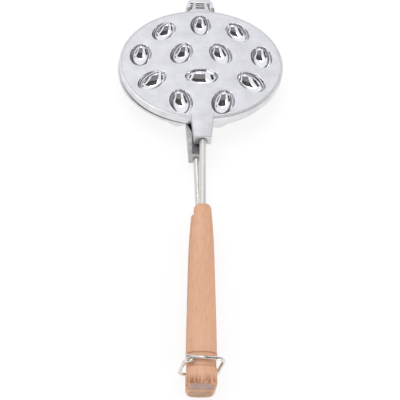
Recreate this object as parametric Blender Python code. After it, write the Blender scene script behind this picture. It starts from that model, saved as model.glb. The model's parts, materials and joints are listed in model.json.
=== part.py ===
# Walnut cookie mold: two hinged plates with twelve nut shapes, rods, handles and a locking ring
from math import asin, cos, pi, radians, sin

import bmesh
import bpy
from mathutils import Vector

for old in list(bpy.data.objects):
    bpy.data.objects.remove(old, do_unlink=True)

# Plates
upper_plate_radius = 0.0860
upper_plate_thickness = 0.0083
lower_rim_inset = 0.0008
lower_plate_radius = upper_plate_radius - lower_rim_inset
lower_plate_thickness = 0.0040
rim_bevel = 0.0010
half_gap = 0.00015
plate_segments = 72

# Hinge line, seen from the middle of the plates
hinge_standoff = 0.0180
hinge_reach = upper_plate_radius + hinge_standoff
hinge_height = 0.0020
hinge_slack_turn = radians(1.46)

# Nut places: shares of the upper plate's radius, bearings from +X and turns of the nut's long axis
rear_nut_reach_share = 0.693
rear_nut_bearing = radians(90)
rear_nut_turn = radians(90)
shoulder_nut_reach_share = 0.730
shoulder_nut_bearing = radians(130)
shoulder_nut_turn = radians(61)
side_nut_reach_share = 0.749
side_nut_bearing = radians(173.3)
side_nut_turn = radians(87)
flank_nut_reach_share = 0.693
flank_nut_bearing = radians(212)
flank_nut_turn = radians(47)
front_nut_reach_share = 0.756
front_nut_bearing = radians(251.3)
front_nut_turn = radians(102)
middle_nut_reach_share = 0.286
middle_nut_bearing = radians(270)
middle_nut_turn = radians(0)
inner_nut_reach_share = 0.276
inner_nut_bearing = radians(151)
inner_nut_turn = radians(70)

# Nut forms: half length along the nut, half width across it, depth down from the plate face
cavity_half_length = 0.0179
cavity_half_width = 0.0137
cavity_depth = 0.0168
dome_wall_length = 0.0021
dome_wall_width = 0.0021
dome_wall_depth = 0.0045
dome_seat_share = 0.85
front_nut_distance = -upper_plate_radius * front_nut_reach_share * sin(front_nut_bearing)
lid_shift = (hinge_reach + front_nut_distance) * sin(hinge_slack_turn)
punch_end_gap = 0.0041
punch_side_clearance = 0.0007
punch_half_length = cavity_half_length - punch_end_gap
punch_half_width = cavity_half_width - lid_shift - punch_side_clearance
punch_depth = 0.0090
well_lip_length = 0.0038
well_lip_width = 0.0031
well_sink = 0.0029
well_half_length = punch_half_length + well_lip_length
well_half_width = punch_half_width + well_lip_width
well_depth = upper_plate_thickness + well_sink
form_segments = 16
form_bands = 4
form_taper_power = 1.2
crown_latitude = radians(75)
form_overrun = 0.0030

# Rods and the tangs that hold them
rod_radius = 0.0031
rod_seat_depth = 0.024
rod_handle_depth = 0.028
rod_bare_length = 0.0656
rod_segments = 20
rod_pitch = radians(1.9)
fit_gap = 0.0003
tang_inset = 0.0047
tang_start = lower_plate_radius - tang_inset
tang_start_half_width = 0.01135
upper_tang_length = 0.0260
upper_tang_end = upper_plate_radius + upper_tang_length
upper_tang_end_half_width = 0.0082
lower_tang_length = 0.0402
lower_tang_end = lower_plate_radius + lower_tang_length
lower_tang_end_half_width = 0.0073
tang_relief = 0.0004
tang_floor = 0.00165
tang_roof = 0.0023
tang_bevel = 0.0008
rod_height = half_gap + tang_relief + tang_floor + fit_gap + rod_radius
tang_height = rod_height + rod_radius + fit_gap + tang_roof

# Handles
handle_front = lower_tang_end + rod_bare_length
handle_length = 0.157
handle_half_width = 0.0110
handle_height = 0.0164
handle_nose_length = 0.0050
handle_nose_share = 0.42
handle_butt_round = 0.0030
handle_butt_share = 0.80
handle_nose_length_shares = (0.0, 0.12, 0.35, 0.65, 1.0)
handle_butt_length_shares = (0.0, 0.5, 0.85, 1.0)
handle_length_shares = (0.03, 0.09, 0.17, 0.22, 0.36, 0.56, 0.70, 0.84)
handle_width_shares = (0.68, 0.75, 0.82, 0.86, 0.905, 0.945, 0.98, 1.0)
section_points = 24
section_middle_share = 0.42
section_top_power = 3.2
section_flat_power = 9.0
groove_width = 0.0105
groove_butt_distance = 0.01225
groove_start = handle_length - groove_butt_distance - groove_width
groove_depth = 0.00055
groove_slope = 0.0008

# How the rods and handles of a used mold lean
upper_rod_lean = radians(-1.0)
lower_rod_lean = radians(3.4)
lower_handle_turn = radians(-2.3)
upper_handle_turn = radians(0)

# Locking ring, which lies in the handles' grooves
wire_radius = 0.0013
ring_side_play = 0.0038
ring_height_play = 0.0007
ring_width = 2 * (handle_half_width + wire_radius) + ring_side_play
ring_height = 2 * (handle_height + wire_radius) + ring_height_play
ring_skew = 0.0048
ring_corner = 0.0060
ring_overlap = 0.0050
ring_end_inset = 0.0020
ring_rest_shift = 0.0004
ring_place = handle_front + groove_start + groove_width / 2
lower_lean_side = (handle_front - lower_tang_end) * sin(lower_rod_lean)
lower_turn_side = (ring_place - handle_front) * sin(lower_rod_lean + lower_handle_turn)
ring_side_offset = lower_lean_side + lower_turn_side + ring_rest_shift
ring_tilt = radians(3)
ring_yaw = radians(-1.5)
ring_corner_steps = 5
wire_segments = 10

# Hinge lug on the upper plate, hinge frame on the lower plate and the pin through both
pin_radius = 0.0016
pin_proud = 0.0005
pin_segments = 24
hinge_inset = 0.0070
lug_eye_radius = 0.0055
lug_eye_first = radians(115)
lug_eye_last = radians(-115)
lug_eye_steps = 8
lug_start_half_width = 0.01015
lug_end_half_width = 0.0072
lug_window_half_width = 0.0050
lug_window_reach = 0.0083
lug_window_start = hinge_reach - lug_window_reach
lug_relief = 0.0005
lug_neck_length = 0.0035
lug_neck_end = upper_plate_radius + lug_neck_length
lug_side_clearance = 0.00085
lug_end_clearance = 0.0030
frame_web = 0.0075
frame_end = hinge_reach + lug_eye_radius + lug_end_clearance + frame_web
frame_slot_half_width = lug_start_half_width + lug_side_clearance
frame_start_wall = 0.0074
frame_end_wall = 0.0002
frame_start_half_width = frame_slot_half_width + frame_start_wall
frame_end_half_width = frame_slot_half_width + frame_end_wall
frame_over_pin = 0.0024
frame_top = hinge_height + pin_radius + frame_over_pin
frame_depth = 0.0078
frame_rim_clearance = 0.0016
frame_rise_length = 0.0029
frame_rise_start = upper_plate_radius + frame_rim_clearance
frame_rise_end = frame_rise_start + frame_rise_length
frame_corner = 0.0010

# Shading angles
edge_angle = radians(35)
handle_edge_angle = radians(40)
ring_edge_angle = radians(50)


def make_material(name, colour, metallic, roughness):
    material = bpy.data.materials.new(name)
    material.use_nodes = True
    shader = material.node_tree.nodes["Principled BSDF"]
    shader.inputs["Base Color"].default_value = (*colour, 1.0)
    shader.inputs["Metallic"].default_value = metallic
    shader.inputs["Roughness"].default_value = roughness
    return material


def make_empty(name, parent=None, place=(0, 0, 0), turn=(0, 0, 0)):
    empty = bpy.data.objects.new(name, None)
    bpy.context.scene.collection.objects.link(empty)
    empty.parent = parent
    empty.location = place
    empty.rotation_euler = turn
    return empty


def make_object(name, bm, parent, material, place=(0, 0, 0), turn=(0, 0, 0)):
    bmesh.ops.recalc_face_normals(bm, faces=bm.faces)
    mesh = bpy.data.meshes.new(name)
    bm.to_mesh(mesh)
    bm.free()
    mesh.materials.append(material)
    piece = bpy.data.objects.new(name, mesh)
    bpy.context.scene.collection.objects.link(piece)
    piece.parent = parent
    piece.location = place
    piece.rotation_euler = turn
    return piece


def hide_helper(piece):
    piece.hide_render = True
    piece.display_type = "WIRE"
    return piece


def shade_round(piece, angle=edge_angle):
    piece.data.shade_smooth()
    piece.data.set_sharp_from_angle(angle=angle)


def add_boolean(piece, helper, operation):
    step = piece.modifiers.new(helper.name, "BOOLEAN")
    step.object = helper
    step.operation = operation
    step.solver = "EXACT"
    return step


def add_rings(bm, rings):
    loops = [[bm.verts.new(point) for point in ring] for ring in rings]
    for one, two in zip(loops, loops[1:]):
        count = len(one)
        for k in range(count):
            bm.faces.new((one[k], one[(k + 1) % count], two[(k + 1) % count], two[k]))
    bm.faces.new(loops[0])
    bm.faces.new(loops[-1])


def round_bar(radius, start, end, segments, along):
    # A closed bar along Y or X between two distances
    bm = bmesh.new()
    rings = []
    for distance in (start, end):
        ring = []
        for k in range(segments):
            angle = 2 * pi * k / segments
            across = radius * cos(angle)
            up = radius * sin(angle)
            point = (across, distance, up) if along == "Y" else (distance, across, up)
            ring.append(point)
        rings.append(ring)
    add_rings(bm, rings)
    return bm


def tapered_prism(profile, half_width_at):
    # A side profile in Y and Z, as wide as half_width_at says at each Y
    bm = bmesh.new()
    left = [bm.verts.new((-half_width_at(y), y, z)) for y, z in profile]
    right = [bm.verts.new((half_width_at(y), y, z)) for y, z in profile]
    count = len(profile)
    for k in range(count):
        after = (k + 1) % count
        bm.faces.new((left[k], left[after], right[after], right[k]))
    bm.faces.new(left)
    bm.faces.new(right)
    return bm


def linear_width(start, start_width, end, end_width):
    slope = (end_width - start_width) / (end - start)
    return lambda y: start_width + slope * (y - start)


def box_bm(low, high):
    bm = bmesh.new()
    bmesh.ops.create_cube(bm, size=1)
    size = Vector(high) - Vector(low)
    middle = (Vector(high) + Vector(low)) / 2
    bmesh.ops.scale(bm, vec=size, verts=bm.verts)
    bmesh.ops.translate(bm, vec=middle, verts=bm.verts)
    return bm


def plate_disc(side, edge_radius, thickness):
    # Turned disc with a small bevel on its outer edge
    inner = side * half_gap
    outer = side * thickness
    profile = (
        (edge_radius, inner),
        (edge_radius, outer - side * rim_bevel),
        (edge_radius - rim_bevel, outer),
    )
    bm = bmesh.new()
    rings = []
    for radius, height in profile:
        ring = []
        for k in range(plate_segments):
            angle = 2 * pi * k / plate_segments
            ring.append((radius * cos(angle), radius * sin(angle), height))
        rings.append(ring)
    add_rings(bm, rings)
    return bm


def nut_places():
    single = (
        (rear_nut_reach_share, rear_nut_bearing, rear_nut_turn),
        (middle_nut_reach_share, middle_nut_bearing, middle_nut_turn),
    )
    paired = (
        (shoulder_nut_reach_share, shoulder_nut_bearing, shoulder_nut_turn),
        (side_nut_reach_share, side_nut_bearing, side_nut_turn),
        (flank_nut_reach_share, flank_nut_bearing, flank_nut_turn),
        (front_nut_reach_share, front_nut_bearing, front_nut_turn),
        (inner_nut_reach_share, inner_nut_bearing, inner_nut_turn),
    )
    mirrored = [(share, pi - bearing, pi - turn) for share, bearing, turn in paired]
    places = []
    for share, bearing, turn in (*single, *paired, *mirrored):
        reach = share * upper_plate_radius
        places.append((reach * cos(bearing), reach * sin(bearing), turn))
    return places


def nut_forms(half_length, half_width, depth, face, start_latitude=0.0, overrun=0.0):
    # Twelve half ellipsoids with flat crowns, hanging down from one face height
    bm = bmesh.new()
    for x, y, turn in nut_places():
        levels = []
        if overrun:
            levels.append((cos(start_latitude) ** form_taper_power, face + overrun))
        for band in range(form_bands + 1):
            latitude = start_latitude + (crown_latitude - start_latitude) * band / form_bands
            levels.append((cos(latitude) ** form_taper_power, face - depth * sin(latitude)))
        rings = []
        for share, height in levels:
            ring = []
            for k in range(form_segments):
                angle = 2 * pi * k / form_segments
                along = half_length * share * cos(angle)
                across = half_width * share * sin(angle)
                px = x + along * cos(turn) - across * sin(turn)
                py = y + along * sin(turn) + across * cos(turn)
                ring.append((px, py, height))
            rings.append(ring)
        add_rings(bm, rings)
    return bm


def handle_share_at(share):
    lengths = handle_length_shares
    widths = handle_width_shares
    if share <= lengths[0]:
        return widths[0]
    for k in range(1, len(lengths)):
        if share <= lengths[k]:
            part = (share - lengths[k - 1]) / (lengths[k] - lengths[k - 1])
            return widths[k - 1] + part * (widths[k] - widths[k - 1])
    return widths[-1]


def handle_section(half_width, low, high, side):
    # Flat on the mating side, full and rounded on the other
    middle = low + section_middle_share * (high - low)
    ring = []
    for k in range(section_points):
        angle = 2 * pi * (k + 0.5) / section_points
        c = cos(angle)
        s = sin(angle)
        power = section_top_power if s > 0 else section_flat_power
        reach = high - middle if s > 0 else middle - low
        x = half_width * abs(c) ** (2 / power) * (1 if c > 0 else -1)
        z = middle + reach * abs(s) ** (2 / power) * (1 if s > 0 else -1)
        ring.append((x, side * z))
    return ring


def handle_bm(side):
    # Stations from the nose to the butt: distance, share of the full section, sink of the groove
    stations = []
    for share in handle_nose_length_shares:
        rounding = handle_nose_share + (1 - handle_nose_share) * (1 - (1 - share) ** 2) ** 0.5
        stations.append((share * handle_nose_length, rounding, 0.0))
    for share in handle_length_shares[1:-1]:
        stations.append((share * handle_length, 1.0, 0.0))
    stations.append((groove_start, 1.0, 0.0))
    stations.append((groove_start + groove_slope, 1.0, groove_depth))
    stations.append((groove_start + groove_width - groove_slope, 1.0, groove_depth))
    stations.append((groove_start + groove_width, 1.0, 0.0))
    for share in handle_butt_length_shares:
        rounding = handle_butt_share + (1 - handle_butt_share) * (1 - share ** 2) ** 0.5
        distance = handle_length - handle_butt_round * (1 - share)
        stations.append((distance, rounding, 0.0))
    centre = (half_gap + handle_height) / 2
    bm = bmesh.new()
    rings = []
    for distance, rounding, sink in stations:
        width = handle_half_width * handle_share_at(distance / handle_length) * rounding - sink
        low = centre - (centre - half_gap) * rounding
        high = centre + (handle_height - centre) * rounding - sink
        rings.append([(x, -distance, z) for x, z in handle_section(width, low, high, side)])
    add_rings(bm, rings)
    return bm


def ring_path():
    # Clockwise from the top left end; the far end comes to lie beside the near one
    half_w = ring_width / 2
    half_h = ring_height / 2
    corners = (
        (half_w - ring_corner, half_h - ring_corner, pi / 2),
        (half_w - ring_corner, ring_corner - half_h, 0.0),
        (ring_corner - half_w, ring_corner - half_h, -pi / 2),
        (ring_corner - half_w, half_h - ring_corner, -pi),
    )
    start = (ring_corner - half_w + ring_end_inset, half_h)
    points = [start]
    for x, z, first in corners:
        for step in range(ring_corner_steps + 1):
            angle = first - (pi / 2) * step / ring_corner_steps
            points.append((x + ring_corner * cos(angle), z + ring_corner * sin(angle)))
    points.append((start[0] + ring_overlap, half_h))
    return [(x + ring_skew * z / ring_height, z) for x, z in points]


def ring_bm():
    points = ring_path()
    shift = 2 * wire_radius + fit_gap
    lengths = [0.0]
    for one, two in zip(points, points[1:]):
        lengths.append(lengths[-1] + (Vector(two) - Vector(one)).length)
    ramp = lengths[-2]
    bm = bmesh.new()
    rings = []
    for k, (x, z) in enumerate(points):
        before = Vector(points[max(k - 1, 0)])
        after = Vector(points[min(k + 1, len(points) - 1)])
        tangent = (after - before).normalized()
        outward = Vector((tangent[1], -tangent[0]))
        y = shift * (0.5 - min(lengths[k] / ramp, 1.0))
        ring = []
        for step in range(wire_segments):
            angle = 2 * pi * step / wire_segments
            reach = wire_radius * cos(angle)
            ring.append((x + outward[0] * reach, y + wire_radius * sin(angle), z + outward[1] * reach))
        rings.append(ring)
    add_rings(bm, rings)
    return bm


def tang_profile(end, side):
    low = side * (half_gap + tang_relief)
    high = side * tang_height
    return (
        (-tang_start, low),
        (-end, low),
        (-end, high),
        (-tang_start, high),
    )


def add_tang(name, plate, parent, place, end, end_half_width, side, material):
    width_at = linear_width(-tang_start, tang_start_half_width, -end, end_half_width)
    tang = make_object(name, tapered_prism(tang_profile(end, side), width_at), parent, material, place)
    bevel = tang.modifiers.new("Bevel", "BEVEL")
    bevel.width = tang_bevel
    bevel.segments = 1
    bevel.limit_method = "ANGLE"
    hide_helper(tang)
    add_boolean(plate, tang, "UNION")


def lug_profile():
    # Neck from the plate to the round eye about the pin
    top = upper_plate_thickness - lug_relief
    low = half_gap + lug_relief
    start = upper_plate_radius - hinge_inset
    points = [(start, low), (start, top), (upper_plate_radius, top)]
    for step in range(lug_eye_steps + 1):
        angle = lug_eye_first + (lug_eye_last - lug_eye_first) * step / lug_eye_steps
        points.append((hinge_reach + lug_eye_radius * cos(angle), hinge_height + lug_eye_radius * sin(angle)))
    points.append((lug_neck_end, low))
    return points


def frame_profile():
    low = -frame_depth
    inner = -half_gap - lug_relief
    start = lower_plate_radius - hinge_inset
    return (
        (start, inner),
        (frame_rise_start, inner),
        (frame_rise_end, frame_top),
        (frame_end - frame_corner, frame_top),
        (frame_end, frame_top - frame_corner),
        (frame_end, low + frame_corner),
        (frame_end - frame_corner, low),
        (start, low),
    )


plate_metal = make_material("upper_plate_aluminium", (0.62, 0.63, 0.64), 1.0, 0.45)
lower_metal = make_material("lower_plate_aluminium", (0.60, 0.61, 0.62), 1.0, 0.50)
pin_steel = make_material("hinge_pin_steel", (0.55, 0.55, 0.55), 1.0, 0.35)
upper_rod_steel = make_material("upper_rod_steel", (0.60, 0.58, 0.54), 1.0, 0.30)
lower_rod_steel = make_material("lower_rod_steel", (0.58, 0.56, 0.52), 1.0, 0.32)
upper_wood = make_material("upper_handle_beech", (0.62, 0.42, 0.30), 0.0, 0.55)
lower_wood = make_material("lower_handle_beech", (0.60, 0.40, 0.28), 0.0, 0.55)
ring_nickel = make_material("locking_ring_nickel", (0.72, 0.71, 0.68), 1.0, 0.18)

root = make_empty("mold_root")
lid_pivot = make_empty("lid_pivot", root, (0, hinge_reach, hinge_height), (0, 0, hinge_slack_turn))
lid_offset = (0, -hinge_reach, -hinge_height)

# Upper plate
upper_plate = make_object(
    "upper_plate",
    plate_disc(1, upper_plate_radius, upper_plate_thickness),
    lid_pivot,
    plate_metal,
    lid_offset,
)
punches = nut_forms(punch_half_length, punch_half_width, punch_depth, half_gap, 0.0, form_overrun)
punches = hide_helper(make_object("punch_form", punches, lid_pivot, plate_metal, lid_offset))
add_boolean(upper_plate, punches, "UNION")
add_tang("upper_tang_form", upper_plate, lid_pivot, lid_offset, upper_tang_end,
         upper_tang_end_half_width, 1, plate_metal)
lug_end = hinge_reach + lug_eye_radius
lug_width = linear_width(upper_plate_radius, lug_start_half_width, lug_end, lug_end_half_width)
lug = make_object("lug_form", tapered_prism(lug_profile(), lug_width), lid_pivot, plate_metal, lid_offset)
window = box_bm(
    (-lug_window_half_width, lug_window_start, -2 * upper_plate_thickness),
    (lug_window_half_width, lug_end + lug_eye_radius, 2 * upper_plate_thickness),
)
window = hide_helper(make_object("lug_window_cutter", window, lid_pivot, plate_metal, lid_offset))
add_boolean(lug, window, "DIFFERENCE")
hide_helper(lug)
add_boolean(upper_plate, lug, "UNION")
wells = nut_forms(well_half_length, well_half_width, well_depth, upper_plate_thickness, 0.0, form_overrun)
wells = hide_helper(make_object("well_cutter", wells, lid_pivot, plate_metal, lid_offset))
add_boolean(upper_plate, wells, "DIFFERENCE")

# Lower plate
lower_disc = plate_disc(-1, lower_plate_radius, lower_plate_thickness)
lower_plate = make_object("lower_plate", lower_disc, root, lower_metal)
dome_depth = cavity_depth + dome_wall_depth
domes = nut_forms(
    cavity_half_length + dome_wall_length,
    cavity_half_width + dome_wall_width,
    dome_depth,
    -half_gap,
    asin(dome_seat_share * lower_plate_thickness / dome_depth),
)
domes = hide_helper(make_object("dome_form", domes, root, lower_metal))
dome_union = add_boolean(lower_plate, domes, "UNION")
dome_union.use_self = True
add_tang("lower_tang_form", lower_plate, root, (0, 0, 0), lower_tang_end,
         lower_tang_end_half_width, -1, lower_metal)
frame_width = linear_width(lower_plate_radius, frame_start_half_width, frame_end, frame_end_half_width)
frame = make_object("frame_form", tapered_prism(frame_profile(), frame_width), root, lower_metal)
slot = box_bm(
    (-frame_slot_half_width, lower_plate_radius - 2 * hinge_inset, -2 * frame_depth),
    (frame_slot_half_width, frame_end - frame_web, 2 * frame_depth),
)
slot = hide_helper(make_object("frame_slot_cutter", slot, root, lower_metal))
add_boolean(frame, slot, "DIFFERENCE")
hide_helper(frame)
add_boolean(lower_plate, frame, "UNION")
cavities = nut_forms(cavity_half_length, cavity_half_width, cavity_depth, -half_gap, 0.0, form_overrun)
cavities = hide_helper(make_object("cavity_cutter", cavities, root, lower_metal))
add_boolean(lower_plate, cavities, "DIFFERENCE")

# Hinge pin
pin_half_length = frame_width(hinge_reach) + pin_proud
pin = round_bar(pin_radius, -pin_half_length, pin_half_length, pin_segments, "X")
pin = make_object("hinge_pin", pin, root, pin_steel, (0, hinge_reach, hinge_height))
shade_round(pin)
pin_bore = round_bar(pin_radius + fit_gap, -2 * pin_half_length, 2 * pin_half_length, pin_segments, "X")
pin_bore = hide_helper(make_object("pin_bore_cutter", pin_bore, root, pin_steel, (0, hinge_reach, hinge_height)))
add_boolean(upper_plate, pin_bore, "DIFFERENCE")
add_boolean(lower_plate, pin_bore, "DIFFERENCE")


def add_handle_side(label, side, plate, parent, offset, tang_end, lean, turn, rod_metal, wood):
    arm = make_empty(label + "_arm", parent, (0, offset[1] - tang_end, offset[2]), (0, 0, lean))
    span = handle_front - tang_end
    height = (0, 0, side * rod_height)
    pitch = (-side * rod_pitch, 0, 0)
    rod = round_bar(rod_radius, rod_seat_depth, -span - rod_handle_depth, rod_segments, "Y")
    rod = make_object(label + "_rod", rod, arm, rod_metal, height, pitch)
    shade_round(rod)
    far = rod_seat_depth + fit_gap
    near = -span - rod_handle_depth - fit_gap
    bore = round_bar(rod_radius + fit_gap, far, near, rod_segments, "Y")
    bore = hide_helper(make_object(label + "_rod_bore_cutter", bore, arm, rod_metal, height, pitch))
    add_boolean(plate, bore, "DIFFERENCE")
    handle = make_object(label + "_handle", handle_bm(side), arm, wood, (0, -span, 0), (0, 0, turn))
    add_boolean(handle, bore, "DIFFERENCE")
    shade_round(handle, handle_edge_angle)


add_handle_side("upper", 1, upper_plate, lid_pivot, lid_offset, upper_tang_end,
                upper_rod_lean, upper_handle_turn, upper_rod_steel, upper_wood)
add_handle_side("lower", -1, lower_plate, root, (0, 0, 0), lower_tang_end,
                lower_rod_lean, lower_handle_turn, lower_rod_steel, lower_wood)
for plate in (upper_plate, lower_plate):
    shade_round(plate)

# Locking ring
ring = make_object(
    "locking_ring",
    ring_bm(),
    root,
    ring_nickel,
    (ring_side_offset, -ring_place, 0),
    (ring_tilt, 0, ring_yaw),
)
shade_round(ring, ring_edge_angle)

# Origin at the middle of the outside box, on the plane the mold rests on
bpy.context.view_layer.update()
graph = bpy.context.evaluated_depsgraph_get()
corners = []
for piece in bpy.context.scene.objects:
    if piece.type == "MESH" and not piece.hide_render:
        solid = piece.evaluated_get(graph)
        corners += [solid.matrix_world @ vertex.co for vertex in solid.data.vertices]
low = Vector([min(corner[axis] for corner in corners) for axis in range(3)])
high = Vector([max(corner[axis] for corner in corners) for axis in range(3)])
root.location = (-(low[0] + high[0]) / 2, -(low[1] + high[1]) / 2, -low[2])
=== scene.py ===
# Walnut cookie mold: detailed pieces, materials and studio
import json
from math import asin, cos, pi, radians, sin

import bmesh
import bpy
from mathutils import Matrix, Vector, noise


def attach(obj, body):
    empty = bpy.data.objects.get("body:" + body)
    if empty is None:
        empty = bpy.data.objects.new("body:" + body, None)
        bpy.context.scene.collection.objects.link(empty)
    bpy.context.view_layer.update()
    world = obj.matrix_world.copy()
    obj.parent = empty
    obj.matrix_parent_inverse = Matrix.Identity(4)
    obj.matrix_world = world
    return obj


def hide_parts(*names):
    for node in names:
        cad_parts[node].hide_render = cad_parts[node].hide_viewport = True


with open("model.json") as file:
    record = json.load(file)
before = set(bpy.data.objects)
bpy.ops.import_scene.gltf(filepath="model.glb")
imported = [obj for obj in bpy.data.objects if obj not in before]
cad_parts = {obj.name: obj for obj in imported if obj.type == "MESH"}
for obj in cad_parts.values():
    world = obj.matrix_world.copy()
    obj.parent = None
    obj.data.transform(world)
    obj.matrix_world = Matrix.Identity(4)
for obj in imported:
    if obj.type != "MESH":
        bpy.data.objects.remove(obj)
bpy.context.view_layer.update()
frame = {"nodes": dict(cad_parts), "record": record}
nodes = frame["nodes"]
joints = {joint["name"]: joint for joint in frame["record"]["behaviour"]["joints"]}

# Sizes of the pieces in metres, and their turns
upper_plate_radius = 0.0860
upper_plate_thickness = 0.0083
lower_plate_radius = 0.0852
lower_plate_thickness = 0.0040
rim_bevel = 0.0009
rim_band = 0.0024
rim_line_width = 0.0006
rim_line_depth = 0.0003
rim_rebate_depth = 0.0020
upper_rebate_height = 0.0007
lower_rebate_height = 0.0002
half_gap = 0.00015
well_half_length = 0.0176
well_half_width = 0.0119
well_depth = 0.0106
punch_half_length = 0.0138
punch_half_width = 0.0088
punch_depth = 0.0090
cavity_half_length = 0.0179
cavity_half_width = 0.0137
cavity_depth = 0.0168
dome_half_length = 0.0200
dome_half_width = 0.0158
dome_depth = 0.0213
crown_latitude = radians(75)
form_taper_power = 1.2
upper_tang_end = 0.112
lower_tang_end = 0.1254
tang_start = 0.0805
tang_start_half_width = 0.01135
upper_tang_end_half_width = 0.0082
lower_tang_end_half_width = 0.0073
tang_height = 0.0113
tang_relief = 0.0004
rod_radius = 0.0031
rod_height = 0.0056
rod_seat_depth = 0.024
rod_handle_depth = 0.028
fit_gap = 0.0003
handle_front = 0.191
handle_length = 0.157
handle_half_width = 0.0110
handle_height = 0.0164
handle_nose_length = 0.0050
handle_nose_share = 0.42
handle_butt_round = 0.0030
handle_butt_share = 0.80
handle_length_shares = (0.03, 0.09, 0.17, 0.22, 0.36, 0.56, 0.70, 0.84)
handle_width_shares = (0.68, 0.75, 0.82, 0.86, 0.905, 0.945, 0.98, 1.0)
section_middle_share = 0.42
section_top_power = 3.2
section_flat_power = 9.0
groove_start = 0.13425
groove_width = 0.0105
groove_depth = 0.00055
groove_line_width = 0.0008
wire_radius = 0.0013
ring_width = 0.0284
ring_height = 0.0361
ring_skew = 0.0048
ring_corner = 0.0060
ring_tail_inset = 0.0007
ring_tail_gap = 0.0001
ring_end_length = 0.0004
ring_place = 0.3305
ring_side_offset = 0.0070
ring_tilt = radians(3)
ring_yaw = radians(-1.5)
hinge_reach = 0.104
hinge_height = 0.0020
pin_radius = 0.0016
hinge_inset = 0.0070
lug_eye_radius = 0.0030
lug_start_half_width = 0.01015
lug_end_half_width = 0.0072
lug_window_half_width = 0.0050
lug_window_start = 0.0920
lug_relief = 0.0005
lug_neck_end = 0.0895
frame_end = 0.120
frame_start_half_width = 0.0184
frame_end_half_width = 0.0112
frame_slot_half_width = 0.0110
frame_web = 0.0104
frame_top = 0.0060
frame_depth = 0.0078
frame_ear_length = 0.0028
frame_web_drop = 0.0044
frame_web_step = 0.0005
frame_rise_start = 0.0868
frame_rise_end = 0.0950
frame_corner = 0.0010
hinge_slack_turn = radians(1.46)
upper_rod_lean = radians(-1.0)
lower_rod_lean = radians(3.4)
upper_handle_turn = radians(0)
lower_handle_turn = radians(-2.3)
rod_pitch = radians(1.9)

# Fineness and finish of the pieces; the allowance keeps fine circles inside the coarser solids
facet_allowance = 0.00003
circle_around = 180
form_around = 72
form_rows = 16
lip_steps = 4
crown_latitude_well = radians(86)
well_power = 0.92
wrinkle_depth = 0.00055
cavity_wrinkle_share = 0.3
wrinkle_scale_along = 190
wrinkle_scale_across = 260
wrinkle_fine_scale = 2.1
wrinkle_fine_share = 0.5
wrinkle_level_share = 1.15
wrinkle_contrast = 1.9
wrinkle_fade = 3
seam_half_width = 0.0012
smallest_reach = 0.001
punch_seed_step = 3.1
cavity_seed_step = 5.7
cast_edge_round = 0.0009
frame_edge_round = 0.0007
lug_edge_round = 0.0005
cast_edge_steps = 3
hinge_edge_steps = 2
edge_turn_limit = radians(30)
cast_smooth_turn = radians(35)
handle_smooth_turn = radians(50)
wire_smooth_turn = radians(60)
lug_eye_start = radians(115)
lug_eye_end = radians(-115)
lug_eye_steps = 16
cut_height = 0.02
cut_overrun = 0.005
facing_share = 0.9
bore_around = 40
rod_around = 48
rim_slope_share = 0.25
rim_round_share = 0.3
tang_pocket_depth = 0.0009
tang_pocket_wall = 0.0022
tang_pocket_left_wall = 0.0029
tang_pocket_right_wall = 0.0006
well_lip_round = 0.0005
scorch_length = 0.0072
scorch_full_length = 0.0022
scorch_brown = (0.33, 0.14, 0.06)
scorch_scale = 420
scorch_stretch = (1, 0.12, 1)
scorch_least_share = 0.15
scorch_contrast = (0.42, 0.62)
bump_distance = 0.0002
metal_detail = 5.0
fine_detail = 3.0
plain_detail = 2.0
metal_gloss_scale = 2.3
metal_bump_scale = 9
even_stretch = (1, 1, 1)
even_contrast = (0.35, 0.65)
grain_scale = 120
grain_stretch_share = 0.045
grain_contrast = (0.3, 0.7)
fleck_scale = 1400
fleck_stretch_share = 0.09
fleck_most_share = 0.35
fleck_contrast = (0.50, 0.72)
wood_gloss_scale = 300
wood_rough_low = 0.42
wood_rough_high = 0.60
wood_specular = 0.35
pore_scale = 1100
pore_bump = 0.25
section_points = 72
nose_steps = 12
nose_step_power = 1.6
grip_steps = 45
tail_steps = 3
butt_steps = 8
groove_edge_gap = 0.001
groove_tail_gap = 0.0015
groove_rise = 1.6
groove_rise_power = 0.6
width_blend_share = 0.05
width_blend_steps = 3
groove_shares = (0, 0.03, 0.07, 0.14, 0.28, 0.5, 0.72, 0.86, 0.93, 0.97, 1)
wire_around = 20
wire_end_share = 0.72
wire_end_round = 0.0003
ring_corner_steps = 12

# Material slots of the two castings, and of the handles
polish_slot = 1
rim_slot = 2
# Painted shade: this slot paints the lower tang's pocket floor and the hinge slot's walls dark
painted_shade_slot = 3
# This slot's darker skin is partly rough cast skin and partly painted shade
skin_and_shade_slot = 4
end_grain_slot = 1
groove_slot = 2

# Nut forms: reach in metres, bearing and turn in degrees, and whether the other side has a twin
nut_rows = (
    (0.0596, 90, 90, False),
    (0.0246, 270, 0, False),
    (0.0628, 130, 61, True),
    (0.0644, 173.3, 87, True),
    (0.0596, 212, 47, True),
    (0.0650, 251.3, 102, True),
    (0.0237, 151, 70, True),
)

hinge_at = Vector(joints["lid_hinge"]["pos_m"])
root_at = hinge_at - Vector((0, hinge_reach, hinge_height))
lower_place = Matrix.Translation(root_at)
upper_place = (
    Matrix.Translation(hinge_at)
    @ Matrix.Rotation(hinge_slack_turn, 4, "Z")
    @ Matrix.Translation((0, -hinge_reach, -hinge_height))
)


def nut_places():
    places = []
    for reach, bearing, turn, paired in nut_rows:
        for mirrored in ((False, True) if paired else (False,)):
            at = radians(180 - bearing if mirrored else bearing)
            nut_turn = radians(180 - turn if mirrored else turn)
            places.append((reach * cos(at), reach * sin(at), nut_turn))
    return places


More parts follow.
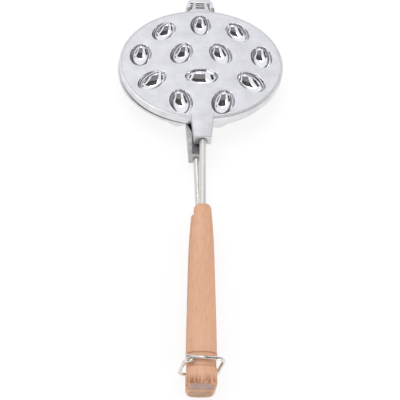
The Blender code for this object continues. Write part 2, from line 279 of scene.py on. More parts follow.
def link(name, bm, place, materials, smooth=cast_smooth_turn):
    bmesh.ops.recalc_face_normals(bm, faces=bm.faces)
    mesh = bpy.data.meshes.new(name)
    bm.to_mesh(mesh)
    bm.free()
    mesh.transform(place)
    for material in materials:
        mesh.materials.append(material)
    mesh.shade_smooth()
    mesh.set_sharp_from_angle(angle=smooth)
    piece = bpy.data.objects.new(name, mesh)
    bpy.context.scene.collection.objects.link(piece)
    return piece


def join_rings(bm, rings, closed_first=True, closed_last=True, slot=0):
    loops = [[bm.verts.new(point) for point in ring] for ring in rings]
    for one, two in zip(loops, loops[1:]):
        count = len(one)
        for k in range(count):
            face = bm.faces.new((one[k], one[(k + 1) % count], two[(k + 1) % count], two[k]))
            face.material_index = slot
    if closed_first:
        bm.faces.new(loops[0]).material_index = slot
    if closed_last:
        bm.faces.new(loops[-1]).material_index = slot
    return loops


def nut_ring(x, y, turn, length, width, height):
    ring = []
    for k in range(form_around):
        angle = 2 * pi * k / form_around
        along = length * cos(angle)
        across = width * sin(angle)
        px = x + along * cos(turn) - across * sin(turn)
        py = y + along * sin(turn) + across * cos(turn)
        ring.append((px, py, height))
    return ring


def walnut_relief(along, across, seed):
    # Soft shell wrinkles with a seam along the nut, from 0 to 1
    place = Vector((along * wrinkle_scale_along, across * wrinkle_scale_across, seed))
    folds = abs(noise.noise(place)) + wrinkle_fine_share * abs(noise.noise(place * wrinkle_fine_scale))
    seam = max(0.0, 1 - abs(across) / seam_half_width)
    return max(0.0, min(1.0, wrinkle_level_share - wrinkle_contrast * folds)) * (1 - seam) + seam


def form_rings(place, length, width, depth, face, latitudes, power, relief, seed):
    # Rings of a nut form below its face; relief moves the wall in by up to that much
    x, y, turn = place
    rings = []
    for latitude in latitudes:
        share = cos(latitude) ** power
        height = face - depth * sin(latitude)
        ring = []
        for k in range(form_around):
            angle = 2 * pi * k / form_around
            along = length * share * cos(angle)
            across = width * share * sin(angle)
            if relief:
                fade = min(1.0, sin(latitude) * wrinkle_fade)
                shrink = relief * fade * walnut_relief(along, across, seed)
                size = max((along ** 2 + across ** 2) ** 0.5, smallest_reach)
                along -= along / size * shrink * cos(latitude)
                across -= across / size * shrink * cos(latitude)
                lift = shrink * sin(latitude)
            else:
                lift = 0.0
            px = x + along * cos(turn) - across * sin(turn)
            py = y + along * sin(turn) + across * cos(turn)
            ring.append((px, py, height + lift))
        rings.append(ring)
    return rings


def fill_face(bm, outer, holes):
    edges = []
    for loop in [outer] + holes:
        count = len(loop)
        for k in range(count):
            pair = (loop[k], loop[(k + 1) % count])
            edges.append(bm.edges.get(pair) or bm.edges.new(pair))
    bmesh.ops.triangle_fill(bm, use_beauty=True, use_dissolve=False, edges=edges)


def circle(radius, height):
    angles = [2 * pi * k / circle_around for k in range(circle_around)]
    return [(radius * cos(angle), radius * sin(angle), height) for angle in angles]


def tapered_prism(profile, half_width_at):
    bm = bmesh.new()
    left = [bm.verts.new((-half_width_at(y), y, z)) for y, z in profile]
    right = [bm.verts.new((half_width_at(y), y, z)) for y, z in profile]
    count = len(profile)
    for k in range(count):
        after = (k + 1) % count
        bm.faces.new((left[k], left[after], right[after], right[k]))
    bm.faces.new(left)
    bm.faces.new(right)
    bmesh.ops.recalc_face_normals(bm, faces=bm.faces)
    return bm


def linear_width(start, start_width, end, end_width):
    slope = (end_width - start_width) / (end - start)
    return lambda y: start_width + slope * (y - start)


def box_bm(low, high):
    bm = bmesh.new()
    bmesh.ops.create_cube(bm, size=1)
    bmesh.ops.scale(bm, vec=Vector(high) - Vector(low), verts=bm.verts)
    bmesh.ops.translate(bm, vec=(Vector(high) + Vector(low)) / 2, verts=bm.verts)
    return bm


def bar_bm(radius, start, end, segments):
    bm = bmesh.new()
    angles = [2 * pi * k / segments for k in range(segments)]
    section = [(radius * cos(angle), radius * sin(angle)) for angle in angles]
    join_rings(bm, [[(x, distance, z) for x, z in section] for distance in (start, end)])
    return bm


def finished(bm, cuts, edge, steps):
    # The mesh after its cuts and rounded edges, as a new bmesh
    mesh = bpy.data.meshes.new("blank")
    bm.to_mesh(mesh)
    bm.free()
    blank = bpy.data.objects.new("blank", mesh)
    bpy.context.scene.collection.objects.link(blank)
    helpers = [blank]
    for cut in cuts:
        cut_mesh = bpy.data.meshes.new("cut")
        bmesh.ops.recalc_face_normals(cut, faces=cut.faces)
        cut.to_mesh(cut_mesh)
        cut.free()
        cutter = bpy.data.objects.new("cut", cut_mesh)
        bpy.context.scene.collection.objects.link(cutter)
        helpers.append(cutter)
        step = blank.modifiers.new("cut", "BOOLEAN")
        step.object = cutter
        step.operation = "DIFFERENCE"
        step.solver = "EXACT"
    bevel = blank.modifiers.new("edge", "BEVEL")
    bevel.width = edge
    bevel.segments = steps
    bevel.limit_method = "ANGLE"
    bevel.angle_limit = edge_turn_limit
    graph = bpy.context.evaluated_depsgraph_get()
    result = bmesh.new()
    result.from_mesh(blank.evaluated_get(graph).to_mesh())
    for helper in helpers:
        bpy.data.objects.remove(helper, do_unlink=True)
    return result


def add_part(bm, extra):
    mesh = bpy.data.meshes.new("extra")
    extra.to_mesh(mesh)
    extra.free()
    bm.from_mesh(mesh)
    bpy.data.meshes.remove(mesh)


def latitudes(first, last, count):
    return [first + (last - first) * k / count for k in range(count + 1)]


def plate_bm(side, radius, thickness, nuts_above, nuts_below):
    # nuts_above and nuts_below hold one list of rings per nut, first ring on the face
    bm = bmesh.new()
    outer = side * thickness
    inner = side * half_gap
    rebate = upper_rebate_height if side > 0 else lower_rebate_height
    line = radius - rim_band
    rim = [
        circle(line - rim_line_width, outer),
        circle(line - rim_line_width / 2, outer - side * rim_line_depth),
        circle(line, outer),
        circle(radius - rim_bevel, outer - side * rim_bevel * rim_slope_share),
        circle(radius - rim_bevel * rim_round_share, outer - side * rim_bevel * 2 * rim_slope_share),
        circle(radius, outer - side * rim_bevel),
        circle(radius, inner + side * rebate),
        circle(radius - rim_rebate_depth, inner + side * rebate),
        circle(radius - rim_rebate_depth, inner),
    ]
    if side < 0:
        rim.reverse()
    loops = join_rings(bm, rim, False, False)
    for face in bm.faces:
        if min(vert.co.xy.length for vert in face.verts) > radius - rim_bevel - fit_gap:
            face.material_index = rim_slot
    for nuts, edge in ((nuts_above, loops[0]), (nuts_below, loops[-1])):
        holes = []
        for rings in nuts:
            made = join_rings(bm, rings, False, True, polish_slot)
            holes.append(made[0])
        fill_face(bm, edge, holes)
    return bm


def tang_part(end, end_half_width, side):
    low = side * (half_gap + tang_relief)
    high = side * tang_height
    profile = ((-tang_start, low), (-end, low), (-end, high), (-tang_start, high))
    width_at = linear_width(-tang_start, tang_start_half_width, -end, end_half_width)
    pitch = Matrix.Rotation(-side * rod_pitch, 4, "X")
    bore = bar_bm(rod_radius + fit_gap, rod_seat_depth, -rod_seat_depth, bore_around)
    lean = upper_rod_lean if side > 0 else lower_rod_lean
    place = Matrix.Translation((0, -end, side * rod_height)) @ Matrix.Rotation(lean, 4, "Z") @ pitch
    bmesh.ops.transform(bore, matrix=place, verts=bore.verts)
    cuts = [bore]
    # A shallow pocket in the lower tang, whose floor is later painted dark as shade
    if side < 0:
        reach = end_half_width - tang_pocket_left_wall
        right = end_half_width - tang_pocket_right_wall
        pocket_low = (-reach, tang_pocket_wall - end, low - tang_pocket_depth)
        cuts.append(box_bm(pocket_low, (right, -tang_start, -low)))
    return finished(tapered_prism(profile, width_at), cuts, cast_edge_round, cast_edge_steps)


# Nut forms of the two plates: wells, punches, cavities and domes
def well_rings(place):
    face = upper_plate_thickness
    x, y, turn = place
    lip = []
    for step in range(lip_steps):
        angle = pi / 2 * step / lip_steps
        inset = well_lip_round * sin(angle)
        drop = well_lip_round * (1 - cos(angle))
        lip.append(nut_ring(x, y, turn, well_half_length - inset, well_half_width - inset, face - drop))
    bowl = form_rings(place, well_half_length - well_lip_round, well_half_width - well_lip_round,
                      well_depth - well_lip_round, face - well_lip_round,
                      latitudes(0, crown_latitude_well, form_rows), well_power, 0, 0)
    return lip + bowl


def punch_rings(place, seed):
    return form_rings(place, punch_half_length, punch_half_width, punch_depth, half_gap,
                      latitudes(0, crown_latitude, form_rows), form_taper_power, wrinkle_depth, seed)


def cavity_rings(place, seed):
    return form_rings(place, cavity_half_length, cavity_half_width, cavity_depth, -half_gap,
                      latitudes(0, crown_latitude, form_rows), form_taper_power,
                      cavity_wrinkle_share * wrinkle_depth, seed)


def dome_rings(place):
    start = asin((lower_plate_thickness - half_gap) / dome_depth)
    return form_rings(place, dome_half_length, dome_half_width, dome_depth, -half_gap,
                      latitudes(start, crown_latitude, form_rows), form_taper_power, 0, 0)


# Materials with blotches, grain and bumps
def noise_mix(tree, scale, low, high, detail, stretch=even_stretch, contrast=even_contrast):
    coordinates = tree.nodes.new("ShaderNodeTexCoord")
    mapping = tree.nodes.new("ShaderNodeMapping")
    mapping.inputs["Scale"].default_value = stretch
    texture = tree.nodes.new("ShaderNodeTexNoise")
    texture.inputs["Scale"].default_value = scale
    texture.inputs["Detail"].default_value = detail
    ramp = tree.nodes.new("ShaderNodeMapRange")
    ramp.inputs["From Min"].default_value = contrast[0]
    ramp.inputs["From Max"].default_value = contrast[1]
    ramp.inputs["To Min"].default_value = low
    ramp.inputs["To Max"].default_value = high
    tree.links.new(coordinates.outputs["Object"], mapping.inputs["Vector"])
    tree.links.new(mapping.outputs["Vector"], texture.inputs["Vector"])
    tree.links.new(texture.outputs["Fac"], ramp.inputs["Value"])
    return ramp.outputs["Result"]


def mix_colour(tree, factor, one, two):
    mix = tree.nodes.new("ShaderNodeMix")
    mix.data_type = "RGBA"
    for socket, value in ((mix.inputs[6], one), (mix.inputs[7], two)):
        if isinstance(value, tuple):
            socket.default_value = (*value, 1.0)
        else:
            tree.links.new(value, socket)
    tree.links.new(factor, mix.inputs[0])
    return mix.outputs[2]


def add_bump(tree, shader, height, strength):
    bump = tree.nodes.new("ShaderNodeBump")
    bump.inputs["Strength"].default_value = strength
    bump.inputs["Distance"].default_value = bump_distance
    tree.links.new(height, bump.inputs["Height"])
    tree.links.new(bump.outputs["Normal"], shader.inputs["Normal"])


def metal(name, dark, light, rough_low, rough_high, scale, bump, stretch=even_stretch):
    material = bpy.data.materials.new(name)
    material.use_nodes = True
    tree = material.node_tree
    shader = tree.nodes["Principled BSDF"]
    shader.inputs["Metallic"].default_value = 1.0
    blotches = noise_mix(tree, scale, 0.0, 1.0, metal_detail, stretch)
    tree.links.new(mix_colour(tree, blotches, dark, light), shader.inputs["Base Color"])
    gloss = noise_mix(tree, scale * metal_gloss_scale, rough_low, rough_high, fine_detail, stretch)
    tree.links.new(gloss, shader.inputs["Roughness"])
    add_bump(tree, shader, noise_mix(tree, scale * metal_bump_scale, 0.0, 1.0, plain_detail, stretch), bump)
    return material


def beech(name, dark, light, fleck, end_grain=False, scorch=None):
    # scorch holds the places along the handle where brown streaks begin and are full
    material = bpy.data.materials.new(name)
    material.use_nodes = True
    tree = material.node_tree
    shader = tree.nodes["Principled BSDF"]
    grain_stretch = even_stretch if end_grain else (1, grain_stretch_share, 1)
    fleck_stretch = even_stretch if end_grain else (1, fleck_stretch_share, 1)
    broad = noise_mix(tree, grain_scale, 0.0, 1.0, fine_detail, grain_stretch, grain_contrast)
    base = mix_colour(tree, broad, dark, light)
    fine = noise_mix(tree, fleck_scale, 0.0, fleck_most_share, plain_detail, fleck_stretch, fleck_contrast)
    coloured = mix_colour(tree, fine, base, fleck)
    if scorch:
        coordinates = tree.nodes.new("ShaderNodeTexCoord")
        split = tree.nodes.new("ShaderNodeSeparateXYZ")
        fade = tree.nodes.new("ShaderNodeMapRange")
        fade.inputs["From Min"].default_value = scorch[0]
        fade.inputs["From Max"].default_value = scorch[1]
        streaks = noise_mix(
            tree, scorch_scale, scorch_least_share, 1.0, plain_detail, scorch_stretch, scorch_contrast)
        amount = tree.nodes.new("ShaderNodeMath")
        amount.operation = "MULTIPLY"
        tree.links.new(coordinates.outputs["Object"], split.inputs["Vector"])
        tree.links.new(split.outputs["Y"], fade.inputs["Value"])
        tree.links.new(fade.outputs["Result"], amount.inputs[0])
        tree.links.new(streaks, amount.inputs[1])
        coloured = mix_colour(tree, amount.outputs[0], coloured, scorch_brown)
    tree.links.new(coloured, shader.inputs["Base Color"])
    gloss = noise_mix(tree, wood_gloss_scale, wood_rough_low, wood_rough_high, plain_detail, grain_stretch)
    tree.links.new(gloss, shader.inputs["Roughness"])
    shader.inputs["Specular IOR Level"].default_value = wood_specular
    add_bump(tree, shader, noise_mix(tree, pore_scale, 0.0, 1.0, fine_detail, fleck_stretch), pore_bump)
    return material


drawn_stretch = (1, 0.06, 1)
turned_stretch = (1, 1, 0.3)
pin_stretch = (0.1, 1, 1)
# Each metal: dark and light colour, least and most roughness, scale of its blotches, bump, stretch
plate_face = metal("cast_plate_face", (0.68, 0.68, 0.70), (0.74, 0.74, 0.76), 0.46, 0.58, 90, 0.30)
well_polish = metal("polished_well", (0.84, 0.84, 0.87), (0.92, 0.92, 0.95), 0.03, 0.07, 40, 0.03)
lower_face = metal("lower_cast_face", (0.66, 0.66, 0.68), (0.74, 0.74, 0.76), 0.42, 0.55, 80, 0.30)
cavity_polish = metal("cavity_metal", (0.70, 0.70, 0.72), (0.82, 0.82, 0.84), 0.12, 0.22, 70, 0.12)
turned_rim = metal(
    "turned_rim", (0.70, 0.70, 0.72), (0.80, 0.80, 0.82), 0.30, 0.42, 90, 0.20, turned_stretch)
# Lower tang skin, darker partly as rough cast skin and partly as painted shade under the upper half
skin_and_shade_of_tang = metal("cast_skin_and_painted_shade_of_tang", (0.47, 0.47, 0.48), (0.61, 0.61, 0.62), 0.46, 0.60, 220, 0.40)
# Painted shade: a near-black skin for the tang pocket floor and the hinge slot's walls
painted_shade_skin = metal("painted_shade_cast_skin", (0.20, 0.19, 0.20), (0.33, 0.315, 0.325), 0.50, 0.70, 300, 0.40)
rod_metal = metal(
    "satin_rod", (0.66, 0.635, 0.60), (0.82, 0.795, 0.755), 0.26, 0.38, 40, 0.10, drawn_stretch)
pin_metal = metal(
    "hinge_pin_metal", (0.55, 0.55, 0.55), (0.70, 0.70, 0.70), 0.22, 0.34, 400, 0.15, pin_stretch)
ring_metal = metal("bright_ring_wire", (0.54, 0.50, 0.47), (0.84, 0.80, 0.75), 0.08, 0.16, 140, 0.08)

places = nut_places()

# Upper plate with its tang and hinge lug
upper = plate_bm(
    1, upper_plate_radius - facet_allowance, upper_plate_thickness,
    [well_rings(place) for place in places],
    [punch_rings(place, punch_seed_step * k) for k, place in enumerate(places)],
)
add_part(upper, tang_part(upper_tang_end, upper_tang_end_half_width, 1))
lug_top = upper_plate_thickness - lug_relief
lug_low = half_gap + lug_relief
lug_start = upper_plate_radius - hinge_inset
lug_profile = [(lug_start, lug_low), (lug_start, lug_top), (upper_plate_radius, lug_top)]
for step in range(lug_eye_steps + 1):
    angle = lug_eye_start + (lug_eye_end - lug_eye_start) * step / lug_eye_steps
    eye_y = hinge_reach + lug_eye_radius * cos(angle)
    lug_profile.append((eye_y, hinge_height + lug_eye_radius * sin(angle)))
lug_profile.append((lug_neck_end, lug_low))
lug_end = hinge_reach + lug_eye_radius
lug_width = linear_width(upper_plate_radius, lug_start_half_width, lug_end, lug_end_half_width)
window = box_bm(
    (-lug_window_half_width, lug_window_start, -cut_height),
    (lug_window_half_width, lug_end + cut_overrun, cut_height),
)
hinge_lug = finished(tapered_prism(lug_profile, lug_width), [window], lug_edge_round, hinge_edge_steps)
add_part(upper, hinge_lug)
upper_plate = link("upper_plate_cast", upper, upper_place, (plate_face, well_polish, turned_rim))
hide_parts("upper_plate")
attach(upper_plate, "upper_half")

# Lower plate with its tang and hinge frame
lower = plate_bm(
    -1, lower_plate_radius, lower_plate_thickness,
    [cavity_rings(place, cavity_seed_step * k) for k, place in enumerate(places)],
    [dome_rings(place) for place in places],
)
# The lower tang is darkened all over, partly as rough cast skin and partly as painted shade under the upper
# half
lower_tang = tang_part(lower_tang_end, lower_tang_end_half_width, -1)
# The pocket floor takes painted shade
pocket_floor = -half_gap - tang_relief - tang_pocket_depth
for face in lower_tang.faces:
    near_floor = abs(face.calc_center_median().z - pocket_floor) < tang_relief
    face.material_index = painted_shade_slot if near_floor and face.normal.z > facing_share else skin_and_shade_slot
add_part(lower, lower_tang)
frame_start = lower_plate_radius - hinge_inset
frame_inner = -half_gap - lug_relief
frame_profile = (
    (frame_start, frame_inner),
    (frame_rise_start, frame_inner),
    (frame_rise_end, frame_top),
    (hinge_reach + frame_ear_length, frame_top),
    (frame_end - frame_web - frame_web_step, frame_top - frame_web_drop),
    (frame_end - frame_corner, frame_top - frame_web_drop),
    (frame_end, frame_top - frame_web_drop - frame_corner),
    (frame_end, frame_corner - frame_depth),
    (frame_end - frame_corner, -frame_depth),
    (frame_start, -frame_depth),
)
frame_width = linear_width(lower_plate_radius, frame_start_half_width, frame_end, frame_end_half_width)
slot = box_bm(
    (-frame_slot_half_width, lower_plate_radius - 2 * hinge_inset, -cut_height),
    (frame_slot_half_width, frame_end - frame_web, cut_height),
)
frame_blank = tapered_prism(frame_profile, frame_width)
hinge_frame = finished(frame_blank, [slot], frame_edge_round, hinge_edge_steps)
# The slot's side walls and the web wall facing into the slot take painted shade; the rest takes the turned
# rim
for face in hinge_frame.faces:
    middle = face.calc_center_median()
    near_side = abs(abs(middle.x) - frame_slot_half_width) < pin_radius
    near_end = abs(middle.y - frame_end + frame_web) < frame_web_step
    beside_slot = near_side and abs(face.normal.x) > facing_share
    across_slot = near_end and face.normal.y < -facing_share
    face.material_index = painted_shade_slot if beside_slot or across_slot else rim_slot
add_part(lower, hinge_frame)
lower_metals = (lower_face, cavity_polish, turned_rim, painted_shade_skin, skin_and_shade_of_tang)
lower_plate = link("lower_plate_cast", lower, lower_place, lower_metals)
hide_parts("lower_plate")
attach(lower_plate, "lower_half")


# Handles
def width_share(share):
    lengths = handle_length_shares
    widths = handle_width_shares
    if share <= lengths[0]:
        return widths[0]
    for k in range(1, len(lengths)):
        if share <= lengths[k]:
            part = (share - lengths[k - 1]) / (lengths[k] - lengths[k - 1])
            return widths[k - 1] + part * (widths[k] - widths[k - 1])
    return widths[-1]


def smooth_width_share(share):
    reach = range(-width_blend_steps, width_blend_steps + 1)
    near = [width_share(share + width_blend_share * k / width_blend_steps) for k in reach]
    return sum(near) / len(near)


def handle_ring(width, low, high, side, y):
    middle = low + section_middle_share * (high - low)
    ring = []
    for k in range(section_points):
        angle = 2 * pi * (k + 0.5) / section_points
        c = cos(angle)
        s = sin(angle)
        power = section_top_power if s > 0 else section_flat_power
        reach = high - middle if s > 0 else middle - low
        x = width * abs(c) ** (2 / power) * (1 if c > 0 else -1)
        z = middle + reach * abs(s) ** (2 / power) * (1 if s > 0 else -1)
        ring.append((x, y, side * z))
    return ring


def handle_piece(side):
    stations = []
    for k in range(nose_steps + 1):
        share = (k / nose_steps) ** nose_step_power
        rounding = handle_nose_share + (1 - handle_nose_share) * (1 - (1 - share) ** 2) ** 0.5
        stations.append((share * handle_nose_length, rounding, 0.0))
    grip_length = groove_start - groove_edge_gap - handle_nose_length
    for k in range(1, grip_steps + 1):
        stations.append((handle_nose_length + grip_length * k / grip_steps, 1.0, 0.0))
    for share in groove_shares:
        dip = groove_depth * min(1.0, groove_rise * sin(pi * share) ** groove_rise_power)
        stations.append((groove_start + groove_width * share, 1.0, dip))
    stations.append((groove_start + groove_width + groove_edge_gap, 1.0, 0.0))
    tail_start = groove_start + groove_width + groove_tail_gap
    tail_length = handle_length - handle_butt_round - tail_start
    for k in range(tail_steps + 1):
        stations.append((tail_start + tail_length * k / tail_steps, 1.0, 0.0))
    for k in range(1, butt_steps + 1):
        share = sin(pi / 2 * k / butt_steps)
        rounding = handle_butt_share + (1 - handle_butt_share) * (1 - share ** 2) ** 0.5
        stations.append((handle_length - handle_butt_round * (1 - share), rounding, 0.0))
    centre = (half_gap + handle_height) / 2
    line_places = (
        groove_start + groove_line_width / 2,
        groove_start + groove_width - groove_line_width / 2,
    )
    line_faces = set()
    for k in range(len(stations) - 1):
        middle = (stations[k][0] + stations[k + 1][0]) / 2
        for line in line_places:
            if abs(middle - line) < groove_line_width / 2:
                line_faces.add(k)
    bm = bmesh.new()
    rings = []
    for distance, rounding, sink in stations:
        width = handle_half_width * smooth_width_share(distance / handle_length) * rounding - sink
        low = centre - (centre - half_gap) * rounding
        high = centre + (handle_height - centre) * rounding - sink
        rings.append(handle_ring(width, low, high, side, facet_allowance - distance))
    join_rings(bm, rings)
    bm.faces.ensure_lookup_table()
    bm.faces[-1].material_index = end_grain_slot
    for k in line_faces:
        for face in bm.faces[k * section_points:(k + 1) * section_points]:
            face.material_index = groove_slot
    return bm


def arm_place(half_place, tang_end, lean):
    return half_place @ Matrix.Translation((0, -tang_end, 0)) @ Matrix.Rotation(lean, 4, "Z")


upper_arm = arm_place(upper_place, upper_tang_end, upper_rod_lean)
lower_arm = arm_place(lower_place, lower_tang_end, lower_rod_lean)
butt_place = upper_arm @ Vector((0, upper_tang_end - handle_front - handle_length, 0))
scorch_reach = (butt_place.y + scorch_length, butt_place.y + scorch_full_length)
upper_wood = beech(
    "upper_beech", (0.585, 0.315, 0.19), (0.71, 0.41, 0.265), (0.40, 0.175, 0.085), scorch=scorch_reach)
lower_wood = beech("lower_beech", (0.57, 0.32, 0.19), (0.69, 0.41, 0.26), (0.38, 0.175, 0.085))
upper_end_wood = beech(
    "upper_end_grain", (0.33, 0.20, 0.165), (0.42, 0.27, 0.23), (0.24, 0.13, 0.10), end_grain=True)
lower_end_wood = beech(
    "lower_end_grain", (0.36, 0.20, 0.115), (0.46, 0.275, 0.175), (0.24, 0.11, 0.055), end_grain=True)
# Thin darker lines at the groove's two edges
dark_groove_line_wood = beech("dark_groove_edge_line", (0.36, 0.18, 0.10), (0.48, 0.26, 0.16), (0.24, 0.11, 0.06))

for label, side, arm, tang_end, turn, woods in (
    ("upper", 1, upper_arm, upper_tang_end, upper_handle_turn, (upper_wood, upper_end_wood, dark_groove_line_wood)),
    ("lower", -1, lower_arm, lower_tang_end, lower_handle_turn, (lower_wood, lower_end_wood, dark_groove_line_wood)),
):
    span = handle_front - tang_end
    handle_place = arm @ Matrix.Translation((0, -span, 0)) @ Matrix.Rotation(turn, 4, "Z")
    handle = link(label + "_beech_handle", handle_piece(side), handle_place, woods, handle_smooth_turn)
    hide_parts(label + "_handle")
    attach(handle, label + "_half")
    pitch = Matrix.Rotation(-side * rod_pitch, 4, "X")
    rod_place = arm @ Matrix.Translation((0, 0, side * rod_height)) @ pitch
    rod_bm = bar_bm(rod_radius, rod_seat_depth, -span - rod_handle_depth, rod_around)
    rod = link(label + "_steel_rod", rod_bm, rod_place, (rod_metal,))
    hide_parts(label + "_rod")
    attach(rod, label + "_half")

# Hinge pin
nodes["hinge_pin"].material_slots[0].material = pin_metal


# Locking ring
def ring_path():
    half_w = ring_width / 2
    half_h = ring_height / 2
    corners = (
        (half_w - ring_corner, half_h - ring_corner, pi / 2),
        (half_w - ring_corner, ring_corner - half_h, 0.0),
        (ring_corner - half_w, ring_corner - half_h, -pi / 2),
        (ring_corner - half_w, half_h - ring_corner, -pi),
    )
    points = [(ring_tail_inset - half_w, half_h)]
    for x, z, first in corners:
        for step in range(ring_corner_steps + 1):
            angle = first - (pi / 2) * step / ring_corner_steps
            points.append((x + ring_corner * cos(angle), z + ring_corner * sin(angle)))
    points.append((ring_corner - half_w + ring_end_length, half_h))
    return [(x + ring_skew * z / ring_height, z) for x, z in points]


def ring_piece():
    points = ring_path()
    shift = 2 * wire_radius + ring_tail_gap
    lengths = [0.0]
    for one, two in zip(points, points[1:]):
        lengths.append(lengths[-1] + (Vector(two) - Vector(one)).length)
    ramp = lengths[-2]
    bm = bmesh.new()
    rings = []
    last = len(points) - 1
    for k, (x, z) in enumerate(points):
        before = Vector(points[max(k - 1, 0)])
        after = Vector(points[min(k + 1, last)])
        tangent = (after - before).normalized()
        outward = Vector((tangent[1], -tangent[0]))
        y = shift * (0.5 - min(lengths[k] / ramp, 1.0))
        trims = ((wire_end_share, 0.0), (1.0, wire_end_round)) if k in (0, last) else ((1.0, 0.0),)
        for size, inset in trims:
            inward = tangent if k == 0 else -tangent
            ring = []
            for step in range(wire_around):
                angle = 2 * pi * step / wire_around
                reach = size * wire_radius * cos(angle)
                rise = size * wire_radius * sin(angle)
                ring.append((x + outward[0] * reach + inward[0] * inset, y + rise,
                             z + outward[1] * reach + inward[1] * inset))
            rings.append(ring)
        if k == last:
            rings[-2], rings[-1] = rings[-1], rings[-2]
    join_rings(bm, rings)
    return bm


ring_place_matrix = (
    lower_place
    @ Matrix.Translation((ring_side_offset, -ring_place, 0))
    @ Matrix.Rotation(ring_yaw, 4, "Z")
    @ Matrix.Rotation(ring_tilt, 4, "X")
)
ring = link("bent_wire_ring", ring_piece(), ring_place_matrix, (ring_metal,), wire_smooth_turn)
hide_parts("locking_ring")
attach(ring, "ring")


# Studio: pale floor, soft light, and cards that the polished wells mirror
stage_shade_scale = 3
stage_shade_detail = 4.0
stage_shade_lift = 1.01
stage_roughness = 0.9
card_roughness = 0.8


def stage_material(name, colour, roughness):
    material = bpy.data.materials.new(name)
    material.use_nodes = True
    tree = material.node_tree
    shader = tree.nodes["Principled BSDF"]
    shader.inputs["Roughness"].default_value = roughness
    shade = noise_mix(tree, stage_shade_scale, 0.0, 1.0, stage_shade_detail)
    lighter = tuple(min(1.0, channel * stage_shade_lift) for channel in colour)
    tree.links.new(mix_colour(tree, shade, colour, lighter), shader.inputs["Base Color"])
    return material


def whiten(material, share):
    # Camera and mirrored rays see the paper nearer to white; its shadow stays
    tree = material.node_tree
    path = tree.nodes.new("ShaderNodeLightPath")
    seen = path.outputs["Is Camera Ray"]
    for output in ("Is Glossy Ray", "Is Transmission Ray"):
        join = tree.nodes.new("ShaderNodeMath")
        join.operation = "MAXIMUM"
        tree.links.new(seen, join.inputs[0])
        tree.links.new(path.outputs[output], join.inputs[1])
        seen = join.outputs[0]
    amount = tree.nodes.new("ShaderNodeMath")
    amount.operation = "MULTIPLY"
    amount.inputs[1].default_value = share
    tree.links.new(seen, amount.inputs[0])
    glow = tree.nodes.new("ShaderNodeEmission")
    mix = tree.nodes.new("ShaderNodeMixShader")
    tree.links.new(amount.outputs[0], mix.inputs[0])
    tree.links.new(tree.nodes["Principled BSDF"].outputs[0], mix.inputs[1])
    tree.links.new(glow.outputs[0], mix.inputs[2])
    tree.links.new(mix.outputs[0], tree.nodes["Material Output"].inputs["Surface"])


floor_half_size = 4
floor_drop = 0.0002
floor_white_share = 0.82
floor_colour = (0.93, 0.93, 0.93)
floor_paper = stage_material("floor_paper", floor_colour, stage_roughness)
whiten(floor_paper, floor_white_share)
floor_bm = bmesh.new()
bmesh.ops.create_grid(floor_bm, x_segments=2, y_segments=2, size=floor_half_size)
floor = link("studio_floor", floor_bm, Matrix.Translation((0, 0, -floor_drop)), (floor_paper,))

card_distance = 1.5
card_steps = 12
dim_card_colour = (0.24, 0.215, 0.21)
dark_card_colour = (0.05, 0.045, 0.05)
dim_card_paint = stage_material("dim_card", dim_card_colour, card_roughness)
dark_card_paint = stage_material("dark_card", dark_card_colour, card_roughness)
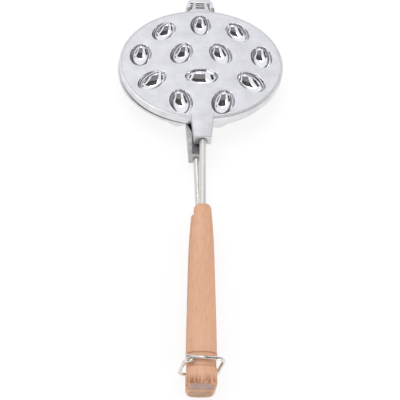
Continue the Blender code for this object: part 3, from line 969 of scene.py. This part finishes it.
# Each card bends over the object from the handle side: its sides in metres, its ends in degrees
cards = (
    ("card_middle_low", dim_card_paint, -0.4, 1.3, 24, 84),
    ("card_middle_high", dark_card_paint, -0.4, 1.3, 84, 122),
    ("card_left", dark_card_paint, -3.2, -1.4, 12, 118),
    ("card_right", dark_card_paint, 2.2, 3.6, 12, 118),
    ("card_rear_right", dark_card_paint, 1.3, 2.2, 134, 150),
)
for card_name, paint, left, right, turn_from, turn_to in cards:
    card_bm = bmesh.new()
    rows = []
    for step in range(card_steps + 1):
        turn = radians(turn_from + (turn_to - turn_from) * step / card_steps)
        rows.append([
            card_bm.verts.new((x, -card_distance * cos(turn), card_distance * sin(turn)))
            for x in (left, right)
        ])
    for one, two in zip(rows, rows[1:]):
        card_bm.faces.new((one[0], one[1], two[1], two[0]))
    card = link(card_name, card_bm, Matrix(), (paint,))
    card.visible_camera = False
    card.visible_diffuse = False
    card.visible_shadow = False

sky_colour = (0.92, 0.93, 0.96)
white = (1.0, 1.0, 1.0)
world = bpy.data.worlds.new("studio")
bpy.context.scene.world = world
world.use_nodes = True
tree = world.node_tree
background = tree.nodes["Background"]
path = tree.nodes.new("ShaderNodeLightPath")
sky = mix_colour(tree, path.outputs["Is Camera Ray"], sky_colour, white)
tree.links.new(sky, background.inputs["Color"])
background.inputs["Strength"].default_value = 1.0


def area_light(name, place, target, size, energy):
    light = bpy.data.lights.new(name, "AREA")
    light.shape = "SQUARE"
    light.size = size
    light.energy = energy
    lamp = bpy.data.objects.new(name, light)
    bpy.context.scene.collection.objects.link(lamp)
    lamp.location = place
    aim = Vector(target) - Vector(place)
    lamp.rotation_euler = aim.to_track_quat("-Z", "Y").to_euler()


softbox_place = (-0.15, 0.5, 1.6)
softbox_target = (0, 0, 0)
softbox_size = 1.2
softbox_power = 9
fill_place = (0.35, -1.25, 0.22)
fill_target = (0, -0.05, 0)
fill_size = 0.5
fill_power = 2.2
area_light("overhead_softbox", softbox_place, softbox_target, softbox_size, softbox_power)
area_light("front_fill", fill_place, fill_target, fill_size, fill_power)

# Camera at the photograph's angle
camera_place = (-0.00735, -0.38324, 0.44432)
camera_pitch = radians(52.95)
camera_yaw = radians(-1.73)
camera_roll = radians(3.18)
camera_sensor_width = 36
camera_focal_share = 1.5
camera_data = bpy.data.cameras.new("camera")
camera_data.sensor_width = camera_sensor_width
camera_data.lens = camera_focal_share * camera_sensor_width
camera = bpy.data.objects.new("camera", camera_data)
bpy.context.scene.collection.objects.link(camera)
camera.matrix_world = (
    Matrix.Translation(camera_place)
    @ Matrix.Rotation(camera_yaw, 4, "Z")
    @ Matrix.Rotation(pi / 2 - camera_pitch, 4, "X")
    @ Matrix.Rotation(camera_roll, 4, "Z")
)
bpy.context.scene.camera = camera
bpy.context.scene.view_settings.view_transform = "Standard"
